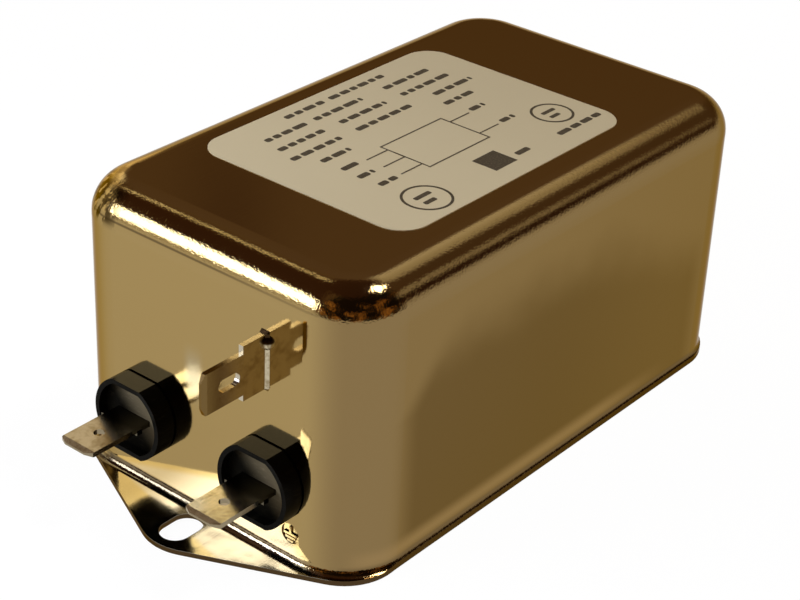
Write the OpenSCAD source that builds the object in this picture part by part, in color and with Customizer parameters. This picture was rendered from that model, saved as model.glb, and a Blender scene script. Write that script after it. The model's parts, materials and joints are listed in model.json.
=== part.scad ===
// EMI line filter in a drawn steel can, with quick-connect blades at both ends.
// Origin: middle of the mounting plane. +X runs from the line end to the load end, +Z is up.

/* [Can] */
// Length of the can, outside
can_l = 94; // [90:1:120]
// Width of the can, outside
can_w = 55.4; // [52:0.2:70]
// Height of the can, outside
can_h = 45.4; // [43:0.2:60]
// Thickness of the drawn sheet
sheet_t = 0.8; // [0.6:0.1:1.2]
// Outside radius of the upright corners
corner_r = 9.7; // [8:0.1:12]
// Outside radius of the edge round the top
top_edge_r = 5.8; // [3:0.1:7]
// Radius of the hollow where the walls turn out into the flange
flare_r = 1.3; // [0.8:0.1:2]

/* [Mounting ears] */
// How far each ear reaches past the end wall
ear_reach = 9.75; // [8.5:0.25:14]
// Radius of the ear's rounded tip
ear_tip_r = 8.5; // [7:0.25:11]
// Radius where the line ear's edge runs into the long side
line_root_r = 9; // [6:0.5:12]
// How far that radius has its centre inside the end wall
line_root_set = 8.1; // [6:0.1:10]
// Radius where the load ear's edge runs into the long side
load_root_r = 10.1; // [6:0.1:12]
// How far that radius has its centre inside the end wall
load_root_set = 9.7; // [6:0.1:10]
// Width of the trimmed lip along the long sides
side_lip = 0.4; // [0.2:0.1:1]
// Distance between the middles of the two mounting slots
slot_spacing = 103.6; // [102:0.2:106]
// Length of a mounting slot, end to end
slot_l = 7; // [5:0.1:8]
// Width of a mounting slot
slot_w = 4.8; // [3.5:0.1:5]

/* [Base cover] */
// Thickness of the cover's sheet
cover_t = 0.7; // [0.5:0.1:1]
// Height of the cover's turned-up rim
cover_rim_h = 4.5; // [3:0.5:5]
// Outside radius of the cover's bend
cover_bend_r = 1.6; // [1.2:0.1:2]
// How far the cover lies above the mounting plane
cover_set = 0.2; // [0.1:0.1:0.5]

/* [Insulated terminals] */
// Distance between the two terminals of one end
terminal_pitch = 24.4; // [18:0.2:28]
// Height of the terminals above the mounting plane
terminal_z = 12.7; // [12:0.1:14]
// Radius of the bushing's rounded sides
bushing_r = 6.4; // [6:0.1:7]
// Height over the bushing's two flats
bushing_flats = 11.6; // [11:0.1:12.4]
// How far the bushing stands out of the wall
bushing_out = 3.4; // [2.5:0.1:5]
// Depth of the recess in the bushing's face
cup_depth = 1.5; // [0.5:0.1:2]
// Width of the rim round that recess
cup_rim = 0.75; // [0.5:0.05:1.2]
// Undercut of the head where it meets the wall
head_relief = 0.25; // [0.1:0.05:0.5]
// How far the bushing's seat narrows inside its head
seat_step = 1.3; // [1:0.1:1.8]
// Length of the snap lips behind the wall
snap_l = 1.6; // [1:0.1:2.5]
// How far each snap lip stands out sideways
snap_out = 0.6; // [0.3:0.1:0.9]
// Length of the bushing's tail behind the snap lips
tail_l = 2.4; // [1:0.1:4]

/* [Quick-connect blades] */
// Width of a blade
blade_w = 6.3; // [4.8:0.1:6.4]
// Thickness of a blade
blade_t = 0.8; // [0.5:0.1:1]
// Length of an insulated blade from its nibs to its tip
blade_l = 8.5; // [7.5:0.1:9]
// Corner cut at a blade's tip
blade_chamfer = 1.2; // [0.6:0.1:1.5]
// Thickness of a blade at its bevelled tip
tip_t = 0.35; // [0.2:0.05:0.6]
// Length of the bevels at a blade's tip
tip_bevel_l = 0.9; // [0.5:0.1:1.2]
// Distance from the wall to an insulated blade's nibs
nib_out = 4.8; // [4.6:0.1:7]
// Length of a nib
nib_l = 1; // [0.6:0.1:1.2]
// How far a nib stands out of the blade's edge
nib_w = 0.5; // [0.3:0.1:0.8]
// Diameter of the latch hole in an insulated blade
latch_d = 1.65; // [1.4:0.05:2]
// Distance from the latch hole to the blade's tip
latch_to_tip = 4.7; // [4:0.1:5]
// Width of a blade's solder tail inside the can
tail_w = 4; // [3:0.1:5]
// How far the solder tail reaches past the bushing
tail_reach = 3.4; // [2.5:0.1:5]

/* [Ground blade] */
// Distance of the ground blade from the can's middle plane
ground_y = 11.4; // [8:0.1:16]
// Height of the middle of the ground blade
ground_z = 31.1; // [29:0.1:33]
// Width of the ground blade's root above that height
ground_root_up = 4.4; // [4:0.1:5.5]
// Width of the ground blade's root below that height
ground_root_down = 4.1; // [3.6:0.1:5]
// Length of the wide root outside the wall
ground_root_l = 4.6; // [4:0.1:7]
// Length of the narrow blade past the root
ground_blade_l = 7.6; // [7:0.1:9]
// Length of the slot in the ground blade
ground_slot_l = 4; // [3:0.1:5]
// Width of the slot in the ground blade
ground_slot_w = 2; // [1.5:0.1:2.4]
// Distance of the slot from the root
ground_slot_set = 0.6; // [0.1:0.1:1]
// Height of the foot that passes through the wall
ground_foot_h = 6; // [4:0.1:7]
// Length of the foot inside the wall
ground_foot_l = 3.6; // [2.5:0.1:5]
// Leg of the solder fillet round the root
solder_leg = 0.45; // [0.3:0.05:0.8]
// Radius of the solder drop at the top of the seam
solder_drop_r = 1; // [0.6:0.05:1.2]

/* [Earth sign] */
// Radius of the stamped round recess
sign_r = 1.6; // [1.2:0.1:2]
// Depth of the recess
sign_depth = 0.25; // [0.1:0.05:0.4]
// Distance of its middle from the can's middle plane
sign_y = 16.4; // [14:0.1:17]
// Height of its middle
sign_z = 5.3; // [4.6:0.1:6]

/* [Label] */
// Length of the label
label_l = 52.8; // [40:0.2:70]
// Width of the label
label_w = 39.4; // [25:0.2:40]
// Thickness of the label
label_t = 0.12; // [0.08:0.02:0.3]
// Radius of the label's corners
label_r = 4.5; // [1:0.5:6]
// Shift of the label towards the line end
label_shift_x = 1.9; // [0:0.1:4]
// Shift of the label sideways
label_shift_y = 0.4; // [0:0.1:1]

/* [Filling] */
// Depth of the resin, from the inside of the can's top
resin_depth = 19.6; // [19.2:0.2:20.2]
// Thickness of the insulating liner
liner_t = 0.4; // [0.2:0.1:0.8]
// Clearance between pieces that fit into each other
fit_gap = 0.1; // [0.05:0.05:0.2]

/* [Choke] */
// Outside diameter of the ring core
core_d = 33; // [30:0.5:34]
// Bore of the ring core
core_bore = 19.5; // [18:0.5:21]
// Height of the ring core
core_h = 13; // [11:0.5:14]
// Distance of the choke from the can's middle, towards the load end
choke_x = 2; // [0:0.5:3]
// Depth of resin over the choke
choke_cover = 2.7; // [2.2:0.1:3]
// Diameter of the winding wire
wire_d = 1.3; // [0.8:0.1:1.4]
// Turns of each winding
turns = 12; // [6:1:12]
// Angle that each winding covers, in degrees
winding_span = 132; // [100:2:136]
// Thickness of the card between the windings
divider_t = 0.8; // [0.5:0.1:1.2]

/* [Capacitors and resistor] */
// Thickness of the line side capacitor
x_line_t = 10; // [8:0.5:11]
// Height of the line side capacitor
x_line_h = 18; // [14:0.5:18.5]
// Thickness of the load side capacitor
x_load_t = 8.5; // [6:0.5:9]
// Height of the load side capacitor
x_load_h = 16.5; // [12:0.5:18]
// Width of both box capacitors
x_cap_w = 26.5; // [25:0.5:28]
// Distance between a box capacitor's leads
x_lead_pitch = 22.5; // [21:0.5:23]
// Resin between the choke and the box capacitors
cap_gap = 2; // [1.5:0.5:3]
// Diameter of the disc capacitors
disc_d = 10; // [8:0.5:11]
// Thickness of the disc capacitors
disc_t = 4; // [3:0.5:5]
// Distance between the discs' middles
disc_pitch = 26; // [24:0.5:28]
// Distance of the discs' middles from the end wall
disc_set = 8.5; // [8:0.5:9]
// Distance between a disc's two leads
disc_lead_pitch = 7.5; // [5:0.5:8]
// Diameter of the component leads
lead_d = 0.8; // [0.6:0.1:1]
// Length of the component leads below the resin
lead_drop = 8; // [6:0.5:9]
// Diameter of the bleed resistor
resistor_d = 2.4; // [2:0.1:3]
// Length of the bleed resistor's body
resistor_l = 6.3; // [5:0.1:9]
// Diameter of the insulated hook-up wire
hookup_d = 1.6; // [1.2:0.1:2]

/* [Hidden] */
$fn = 64;
// Overlap of pieces that are one solid, and length by which a cut passes the sheet
eps = 0.01;
over = 1;

// Ends and sides
LINE = -1;
LOAD = 1;
LEFT = 1;
RIGHT = -1;

// Inside of the can
inner_l = can_l - 2 * sheet_t;
inner_w = can_w - 2 * sheet_t;
inner_r = corner_r - sheet_t;
inner_top = can_h - sheet_t;
bend_top_r = top_edge_r - sheet_t;

// Mounting ears
flange_w = ear_reach + corner_r;
outline_w = can_w + 2 * side_lip;
tip_c = [can_l / 2 + ear_reach - ear_tip_r, 0];

// Bushings: the head outside the wall, the seat in it; the eye in a blade's tail
seat_r = bushing_r - seat_step;
seat_flats = bushing_flats - 2 * seat_step;
blade_tip = nib_out + blade_l;
bushing_in = sheet_t + fit_gap + snap_l + tail_l;
tail_end = bushing_in + tail_reach;
eye_r = 0.6;
eye_to_end = 1.6;

// Earth sign, in shares of its recess's radius
sign_bar_t = 0.22;
sign_bar_half = 0.75;
sign_bar_shorter = 0.2;
sign_bar_step = 0.36;
sign_bar_down = 0.05;

// Resin, and what hangs in it
resin_z = inner_top - resin_depth;
choke_top = inner_top - choke_cover - wire_d - fit_gap;
core_z = choke_top - core_h;
wire_r_out = core_d / 2 + wire_d / 2 + fit_gap;
wire_r_in = core_bore / 2 - wire_d / 2 - fit_gap;
wire_z_top = choke_top + wire_d / 2 + fit_gap;
wire_z_bottom = core_z - wire_d / 2 - fit_gap;
choke_r = wire_r_out + wire_d / 2;
core_edge = 0.8;
wire_bend = wire_d * 0.6;
x_line_x = choke_x - choke_r - cap_gap - x_line_t / 2;
x_load_x = choke_x + choke_r + cap_gap + x_load_t / 2;
disc_x = -can_l / 2 + disc_set;
disc_z = resin_z + disc_d / 2 + fit_gap;
lead_z = resin_z - lead_drop;
// Height of the bare wire between the discs' inner leads, and of the resistor
cross_z = resin_z - lead_drop / 2;
// Height at which hook-up wires pass the capacitors, and how far they run up beside the choke's leads
pass_z = resin_z - lead_drop * 3 / 4;
join_l = 2;
resistor_lead_d = lead_d * 0.75;

function unit(v) = v / norm(v);

// Radius where an ear's edge runs into the long side, and that arc's centre
function root_r(end) = end == LINE ? line_root_r : load_root_r;
function root_set(end) = end == LINE ? line_root_set : load_root_set;
function root_c(end) = [can_l / 2 - root_set(end), outline_w / 2 - root_r(end)];

// Outward normal's angle of the straight edge that touches both of an ear's arcs
function ear_edge_angle(end) =
    let (d = tip_c - root_c(end))
    atan2(d[1], d[0]) + acos((root_r(end) - ear_tip_r) / norm(d));

// Directions along a path, one for each of its points
function tangents(path) =
    let (last = len(path) - 1)
    [for (i = [0:last]) unit(path[min(i + 1, last)] - path[max(i - 1, 0)])];

// Part of v that is square to the direction t
function squared(v, t) = unit(v - (v * t) * t);

// A side direction carried along the tangents without twist
function sides_along(t) =
    let (first = squared(abs(t[0][2]) > 0.9 ? [1, 0, 0] : [0, 0, 1], t[0]))
    [for (i = 0, s = first; i < len(t); i = i + 1, s = i < len(t) ? squared(s, t[i]) : s) s];

// A path with each inner corner cut into two points, each at most `cut` from it
function cut_corners(path, cut) =
    let (last = len(path) - 1)
    [for (i = [0:last])
        if (i == 0 || i == last) path[i]
        else for (other = [path[i - 1], path[i + 1]])
            path[i] + unit(other - path[i]) * min(cut, norm(other - path[i]) / 3)];

// A round wire along a path
module wire(path, d, facets = 8) {
    t = tangents(path);
    side = sides_along(t);
    rings = [for (i = [0:len(path) - 1], j = [0:facets - 1])
        let (a = 360 * j / facets)
        path[i] + d / 2 * (cos(a) * side[i] + sin(a) * cross(t[i], side[i]))];
    last = (len(path) - 1) * facets;
    walls = [for (i = [0:len(path) - 2], j = [0:facets - 1])
        let (a = i * facets + j, b = i * facets + (j + 1) % facets)
        each [[a, a + facets, b], [b, a + facets, b + facets]]];
    start = [for (j = [0:facets - 1]) j];
    end = [for (j = [facets - 1:-1:0]) last + j];
    polyhedron(points = rings, faces = concat(walls, [start, end]));
}

// Slice of a disc between two angles less than 180 degrees apart
module pie(r, from, to) {
    middle = (from + to) / 2;
    intersection() {
        circle(r);
        polygon([
            [0, 0],
            2 * r * [cos(from), sin(from)],
            3 * r * [cos(middle), sin(middle)],
            2 * r * [cos(to), sin(to)]
        ]);
    }
}

// Quarter of a bent sheet's section, between two angles
module bend(r_out, r_in, from) {
    difference() {
        pie(r_out, from, from + 90);
        circle(r_in);
    }
}

// Rectangle given by two opposite corners
module span2(low, high) {
    translate(low) square(high - low);
}

// Box given by two opposite corners
module span3(low, high) {
    translate(low) cube(high - low);
}

// Rounded rectangle about the origin
module rounded(l, w, r) {
    for (x = [-1, 1], y = [-1, 1])
        translate([x * (l / 2 - r), y * (w / 2 - r)]) circle(r);
    square([l - 2 * r, w], center = true);
    square([l, w - 2 * r], center = true);
}

// Rounded rectangle drawn in from its edge by a distance
module inset(l, w, r, by) {
    rounded(l - 2 * by, w - 2 * by, r - by);
}

// A section carried round a rounded rectangle; its x is measured out from the edge, its y is height
module around(l, w, r) {
    straight_l = l - 2 * r;
    straight_w = w - 2 * r;
    for (turn = [0, 180]) rotate(turn) {
        translate([straight_l / 2, -w / 2, 0]) rotate([90, 0, -90]) linear_extrude(straight_l)
            children();
        translate([l / 2, straight_w / 2, 0]) rotate([90, 0, 0]) linear_extrude(straight_w)
            children();
        translate([straight_l / 2, straight_w / 2, 0]) rotate_extrude(angle = 90)
            translate([r, 0]) children();
        translate([-straight_l / 2, straight_w / 2, 0]) rotate(90) rotate_extrude(angle = 90)
            translate([r, 0]) children();
    }
}

// Round shape with a flat above and below, across the X axis
module double_d(r, flats) {
    intersection() {
        circle(r);
        square([flats, 2 * r + over], center = true);
    }
}

// Places a piece that is drawn for the wall of one end: x = 0 is the wall's outside, +x is inward
module at_end(end, y, z) {
    translate([end * can_l / 2, y, z]) rotate(end == LINE ? 0 : 180) children();
}

// Solid along x from one depth to another, with its section drawn in the YZ plane
module along_x(from, to) {
    translate([from, 0, 0]) rotate([0, 90, 0]) linear_extrude(to - from) children();
}

// Section of the can's skirt: the bend round its top, its wall, and its foot turned out into the flange
module can_section() {
    foot = flare_r + sheet_t;
    translate([-top_edge_r, can_h - top_edge_r]) bend(top_edge_r, bend_top_r, 0);
    span2([-sheet_t, foot], [0, can_h - top_edge_r]);
    translate([flare_r, foot]) bend(foot, flare_r, 180);
    span2([flare_r, 0], [flange_w, sheet_t]);
}

// Outline to which the flange and its two ears are trimmed
module flange_outline() {
    for (end = [LINE, LOAD]) mirror([end == LINE ? 1 : 0, 0]) {
        a = ear_edge_angle(end);
        n = [cos(a), sin(a)];
        r = root_r(end);
        c = root_c(end);
        translate(tip_c) circle(ear_tip_r);
        for (y = [0, 1]) mirror([0, y]) {
            translate(c) circle(r);
            polygon([
                [0, 0], tip_c, tip_c + ear_tip_r * n,
                c + r * n, c, [c[0], outline_w / 2], [0, outline_w / 2]
            ]);
        }
    }
}

module earth_sign() {
    bar = sign_r * sign_bar_t / 2;
    difference() {
        along_x(-eps, sign_depth) circle(sign_r);
        for (i = [0:2]) {
            half = sign_r * (sign_bar_half - sign_bar_shorter * i);
            translate([0, 0, -sign_r * (sign_bar_down + sign_bar_step * i)])
                span3([-over, -half, -bar], [over, half, bar]);
        }
        span3([-over, -bar, 0], [over, bar, sign_r * sign_bar_half]);
    }
}

module can() {
    color([0.78, 0.68, 0.5]) difference() {
        intersection() {
            union() {
                around(can_l, can_w, corner_r) can_section();
                translate([0, 0, inner_top])
                    linear_extrude(sheet_t) inset(can_l, can_w, corner_r, top_edge_r);
            }
            linear_extrude(can_h + over) flange_outline();
        }
        for (end = [LINE, LOAD]) {
            translate([end * slot_spacing / 2, 0, -over]) linear_extrude(sheet_t + 2 * over)
                slot(slot_l, slot_w);
            for (side = [LEFT, RIGHT])
                at_end(end, side * terminal_pitch / 2, terminal_z)
                    along_x(-over, sheet_t + over) double_d(seat_r + fit_gap, seat_flats + 2 * fit_gap);
        }
        at_end(LINE, -ground_y, ground_z)
            span3(
                [-over, -blade_t / 2 - fit_gap, -ground_foot_h / 2 - fit_gap],
                [sheet_t + over, blade_t / 2 + fit_gap, ground_foot_h / 2 + fit_gap]
            );
        at_end(LINE, -sign_y, sign_z) earth_sign();
    }
}

// Long hole along x
module slot(l, w) {
    for (x = [-1, 1]) translate([x * (l - w) / 2, 0]) circle(w / 2);
    square([l - w, w], center = true);
}

module base_cover() {
    l = inner_l - 2 * fit_gap;
    w = inner_w - 2 * fit_gap;
    r = inner_r - fit_gap;
    color([0.72, 0.66, 0.52]) translate([0, 0, cover_set]) {
        around(l, w, r) {
            translate([-cover_bend_r, cover_bend_r]) bend(cover_bend_r, cover_bend_r - cover_t, 270);
            span2([-cover_t, cover_bend_r], [0, cover_rim_h]);
        }
        linear_extrude(cover_t) inset(l, w, r, cover_bend_r);
    }
}

module label() {
    color([0.7, 0.66, 0.52])
        translate([-label_shift_x, label_shift_y, can_h])
            linear_extrude(label_t) rounded(label_l, label_w, label_r);
}

module bushing(end, side) {
    floor_x = cup_depth - bushing_out;
    lip_x = sheet_t + fit_gap;
    cup_flats = bushing_flats - 2 * cup_rim;
    color([0.06, 0.055, 0.05]) at_end(end, side * terminal_pitch / 2, terminal_z) difference() {
        union() {
            difference() {
                along_x(-bushing_out, -head_relief) double_d(bushing_r, bushing_flats);
                along_x(-bushing_out - over, floor_x) double_d(bushing_r - cup_rim, cup_flats);
            }
            along_x(-head_relief - eps, 0)
                double_d(bushing_r - head_relief, bushing_flats - 2 * head_relief);
            along_x(-eps, bushing_in) double_d(seat_r, seat_flats);
            along_x(lip_x, lip_x + snap_l) double_d(seat_r + snap_out, seat_flats);
        }
        span3(
            [-bushing_out - over, -blade_w / 2 - fit_gap / 2, -blade_t / 2 - fit_gap / 2],
            [bushing_in + over, blade_w / 2 + fit_gap / 2, blade_t / 2 + fit_gap / 2]
        );
    }
}

// Blade outline from its tip at x = 0 to x = l, with its tip's corners cut
function blade_outline(l) =
    let (h = blade_w / 2, c = blade_chamfer)
    [[0, c - h], [c / 2, -h], [l, -h], [l, h], [c / 2, h], [0, h - c]];

// What two bevels leave of a blade that lies flat, with its tip at x = 0
module between_bevels(l) {
    rotate([90, 0, 0]) translate([0, 0, -blade_w]) linear_extrude(2 * blade_w) polygon([
        [0, -tip_t / 2], [tip_bevel_l, -blade_t / 2], [l, -blade_t / 2],
        [l, blade_t / 2], [tip_bevel_l, blade_t / 2], [0, tip_t / 2]
    ]);
}

module blade(end, side) {
    color([0.72, 0.7, 0.62]) at_end(end, side * terminal_pitch / 2, terminal_z) intersection() {
        translate([-blade_tip, 0, 0]) between_bevels(blade_tip + tail_end);
        translate([0, 0, -blade_t / 2]) difference() {
            linear_extrude(blade_t) difference() {
                union() {
                    translate([-blade_tip, 0]) polygon(blade_outline(blade_tip + bushing_in));
                    span2([-nib_out, -blade_w / 2 - nib_w], [nib_l - nib_out, blade_w / 2 + nib_w]);
                    span2([bushing_in - over, -tail_w / 2], [tail_end, tail_w / 2]);
                }
                translate([tail_end - eye_to_end, 0]) circle(eye_r);
            }
            translate([latch_to_tip - blade_tip, 0, -over]) cylinder(d = latch_d, h = blade_t + 2 * over);
        }
    }
}

module earth_blade() {
    shoulder = -ground_root_l;
    tip = shoulder - ground_blade_l;
    foot_end = sheet_t + ground_foot_l;
    color([0.72, 0.66, 0.5]) at_end(LINE, -ground_y, ground_z) rotate([90, 0, 0]) intersection() {
        translate([tip, 0, 0]) between_bevels(foot_end - tip);
        translate([0, 0, -blade_t / 2]) linear_extrude(blade_t) difference() {
            union() {
                translate([tip, 0]) polygon(blade_outline(ground_blade_l + over));
                span2([shoulder, -ground_root_down], [0, ground_root_up]);
                span2([-over, -ground_foot_h / 2], [foot_end, ground_foot_h / 2]);
            }
            translate([shoulder - ground_slot_set - ground_slot_l / 2, 0])
                slot(ground_slot_l, ground_slot_w);
        }
    }
}

// Fillet of solder that runs along z, in the corner between the wall and a face of the blade
module solder_run(l) {
    linear_extrude(l) polygon([[0, 0], [-solder_leg, 0], [0, solder_leg]]);
}

module earth_solder() {
    h = ground_root_up + ground_root_down;
    end_run = blade_t + solder_leg;
    drop_z = ground_root_up - solder_drop_r - solder_leg;
    color([0.75, 0.73, 0.66]) at_end(LINE, -ground_y, ground_z) {
        for (side = [0, 1]) mirror([0, side, 0]) {
            translate([0, blade_t / 2, -ground_root_down]) solder_run(h);
            translate([0, blade_t / 2, drop_z]) intersection() {
                sphere(solder_drop_r);
                span3([-solder_drop_r, 0, -solder_drop_r], [0, solder_drop_r, solder_drop_r]);
            }
        }
        translate([0, end_run / 2, ground_root_up]) rotate([90, 0, 0]) solder_run(end_run);
        translate([0, -end_run / 2, -ground_root_down]) rotate([-90, 0, 0]) solder_run(end_run);
    }
}

module liner() {
    color([0.82, 0.8, 0.7]) difference() {
        translate([0, 0, resin_z]) linear_extrude(can_h - top_edge_r - resin_z) difference() {
            inset(inner_l, inner_w, inner_r, fit_gap);
            inset(inner_l, inner_w, inner_r, fit_gap + liner_t);
        }
        at_end(LINE, -ground_y, ground_z) earth_foot_room();
    }
}

// Room for the earth blade's foot and for the wire soldered to it
module earth_foot_room() {
    room = hookup_d / 2 + fit_gap;
    span3(
        [0, -blade_t / 2 - fit_gap, resin_z - ground_z - over],
        [sheet_t + ground_foot_l + fit_gap, blade_t / 2 + fit_gap, ground_foot_h / 2 + fit_gap]
    );
    span3(
        [sheet_t + ground_foot_l - hookup_d - 2 * fit_gap, blade_t / 2, resin_z - ground_z - over],
        [sheet_t + ground_foot_l + fit_gap, blade_t / 2 + 2 * room, fit_gap]
    );
}

// Pocket of a box capacitor
module box_room(x, t, h) {
    span3(
        [x - t / 2 - fit_gap, -x_cap_w / 2 - fit_gap, resin_z - over],
        [x + t / 2 + fit_gap, x_cap_w / 2 + fit_gap, resin_z + h + fit_gap]
    );
}

// Pocket of a disc capacitor
module disc_room(side) {
    r = disc_d / 2 + fit_gap;
    half = disc_t / 2 + fit_gap;
    translate([disc_x, side * disc_pitch / 2, disc_z]) {
        along_x(-half, half) circle(r);
        span3([-half, -r, resin_z - disc_z - over], [half, r, 0]);
    }
}

module resin() {
    gap = 2 * fit_gap + liner_t;
    l = inner_l - 2 * gap;
    w = inner_w - 2 * gap;
    r = inner_r - gap;
    edge_r = bend_top_r - liner_t;
    top = inner_top - fit_gap;
    color([0.2, 0.19, 0.18]) difference() {
        union() {
            around(l, w, r) {
                span2([-edge_r, resin_z], [0, top - edge_r]);
                translate([-edge_r, top - edge_r]) pie(edge_r, 0, 90);
            }
            translate([0, 0, resin_z]) linear_extrude(top - resin_z) inset(l, w, r, edge_r);
        }
        translate([choke_x, 0, resin_z - over])
            cylinder(r = choke_r + fit_gap, h = wire_z_top + wire_d / 2 + fit_gap - resin_z + over);
        box_room(x_line_x, x_line_t, x_line_h);
        box_room(x_load_x, x_load_t, x_load_h);
        for (side = [LEFT, RIGHT]) disc_room(side);
        at_end(LINE, -ground_y, ground_z) earth_foot_room();
    }
}

module choke_core() {
    color([0.25, 0.35, 0.28]) translate([choke_x, 0, core_z]) rotate_extrude() difference() {
        span2([core_bore / 2, 0], [core_d / 2, core_h]);
        for (r = [core_bore / 2, core_d / 2], z = [0, core_h])
            translate([r, z]) rotate(45) square(core_edge, center = true);
    }
}

module choke_divider() {
    color([0.85, 0.82, 0.72]) translate([choke_x, 0, core_z]) {
        half = core_bore / 2 - fit_gap;
        span3([-half, -divider_t / 2, -wire_d / 2], [half, divider_t / 2, core_h + wire_d / 2]);
    }
}

// Point of the winding at a radius, an angle and a height
function on_choke(r, a, z) = [choke_x + r * cos(a), r * sin(a), z];

// First and last angle of a winding on the given side
function winding_start(side) = side * (90 + winding_span / 2);
function winding_end(side) = side * (90 - winding_span / 2);

// Path of a winding: a lead up, turns round the core's section, and a lead down
function winding_path(side) =
    let (step = -side * winding_span / turns, first = winding_start(side))
    concat(
        [on_choke(wire_r_out, first, lead_z)],
        [for (i = [0:turns - 1])
            let (a = first + i * step)
            each [
                on_choke(wire_r_out, a, wire_z_bottom), on_choke(wire_r_out, a, wire_z_top),
                on_choke(wire_r_in, a, wire_z_top), on_choke(wire_r_in, a, wire_z_bottom)
            ]],
        [on_choke(wire_r_out, winding_end(side), wire_z_bottom)],
        [on_choke(wire_r_out, winding_end(side), lead_z)]
    );

module choke_winding(side) {
    color([0.72, 0.4, 0.2]) wire(cut_corners(winding_path(side), wire_bend), wire_d);
}

// Straight component lead from the resin's face down
module lead_down(x, y) {
    translate([x, y, lead_z]) cylinder(d = lead_d, h = resin_z - lead_z + eps);
}

module x_capacitor(x, t, h) {
    color([0.75, 0.72, 0.6]) {
        span3([x - t / 2, -x_cap_w / 2, resin_z], [x + t / 2, x_cap_w / 2, resin_z + h]);
        for (side = [LEFT, RIGHT]) lead_down(x, side * x_lead_pitch / 2);
    }
}

module y_capacitor(side) {
    y = side * disc_pitch / 2;
    color([0.2, 0.4, 0.65]) {
        translate([disc_x, y, disc_z]) {
            along_x(-disc_t / 2, disc_t / 2) circle(disc_d / 2);
            for (s = [-1, 1])
                translate([0, s * disc_lead_pitch / 2, lead_z - disc_z])
                    cylinder(d = lead_d, h = disc_z - lead_z);
        }
    }
}

module bleed_resistor() {
    reach = x_lead_pitch / 2 - lead_d / 2 - fit_gap / 2;
    color([0.6, 0.65, 0.7]) translate([x_line_x, 0, cross_z]) rotate([90, 0, 0]) {
        cylinder(d = resistor_d, h = resistor_l, center = true);
        cylinder(d = resistor_lead_d, h = 2 * reach, center = true);
    }
}

// Hook-up wire from a blade's tail past a capacitor's lead to the choke
function hookup_path(end, side) =
    let (
        y = side * terminal_pitch / 2,
        z = terminal_z + blade_t / 2 + hookup_d / 2 + fit_gap / 2,
        x = end * (can_l / 2 - tail_end),
        cap_x = end == LINE ? x_line_x : x_load_x,
        past_y = side * (x_lead_pitch + lead_d + hookup_d + 2 * fit_gap) / 2,
        meet = on_choke(wire_r_out, end == LINE ? winding_start(side) : winding_end(side), 0),
        join = (wire_d + hookup_d) / 2 + fit_gap
    )
    [
        [x + end * (tail_reach - fit_gap), y, z],
        [x, y, z],
        [cap_x + 2 * end * hookup_d, past_y, pass_z],
        [cap_x - end * hookup_d, past_y, pass_z],
        [meet[0] + end * join, meet[1] + side * join, cross_z],
        [meet[0] + end * join, meet[1], cross_z + join_l]
    ];

module hookup(end, side, tint) {
    color(tint) wire(cut_corners(hookup_path(end, side), hookup_d), hookup_d);
}

// Earth wire from the blade's foot to the discs' inner leads
module earth_lead() {
    foot_x = -can_l / 2 + sheet_t + ground_foot_l - hookup_d / 2;
    y = -ground_y + blade_t / 2 + hookup_d / 2 + fit_gap / 2;
    inner = disc_pitch / 2 - disc_lead_pitch / 2;
    x = disc_x - (lead_d + hookup_d) / 2 - fit_gap;
    color([0.3, 0.55, 0.25]) wire(
        cut_corners(
            [
                [foot_x, y, ground_z - fit_gap],
                [foot_x, y, cross_z],
                [x, -inner, cross_z],
                [x, inner + hookup_d, cross_z]
            ],
            hookup_d
        ),
        hookup_d
    );
}

can();
base_cover();
label();
earth_blade();
earth_solder();
bushing(LINE, LEFT);  // line_bushing_1
bushing(LINE, RIGHT);  // line_bushing_2
bushing(LOAD, LEFT);  // load_bushing_1
bushing(LOAD, RIGHT);  // load_bushing_2
blade(LINE, LEFT);  // line_blade_1
blade(LINE, RIGHT);  // line_blade_2
blade(LOAD, LEFT);  // load_blade_1
blade(LOAD, RIGHT);  // load_blade_2
liner();
resin();
choke_core();
choke_divider();
choke_winding(LEFT);  // choke_winding_1
choke_winding(RIGHT);  // choke_winding_2
x_capacitor(x_line_x, x_line_t, x_line_h);  // x_capacitor_line
x_capacitor(x_load_x, x_load_t, x_load_h);  // x_capacitor_load
y_capacitor(LEFT);  // y_capacitor_1
y_capacitor(RIGHT);  // y_capacitor_2
bleed_resistor();
hookup(LINE, LEFT, [0.35, 0.2, 0.1]);  // line_lead_1
hookup(LINE, RIGHT, [0.15, 0.3, 0.6]);  // line_lead_2
hookup(LOAD, LEFT, [0.35, 0.2, 0.1]);  // load_lead_1
hookup(LOAD, RIGHT, [0.15, 0.3, 0.6]);  // load_lead_2
earth_lead();
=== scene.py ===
"""Looks of a line filter in a drawn steel can: finishes, the label's print, light and camera."""

from __future__ import annotations

import json
import logging
import math
import random
from collections.abc import Mapping, Sequence
from dataclasses import dataclass
from enum import Enum

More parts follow.
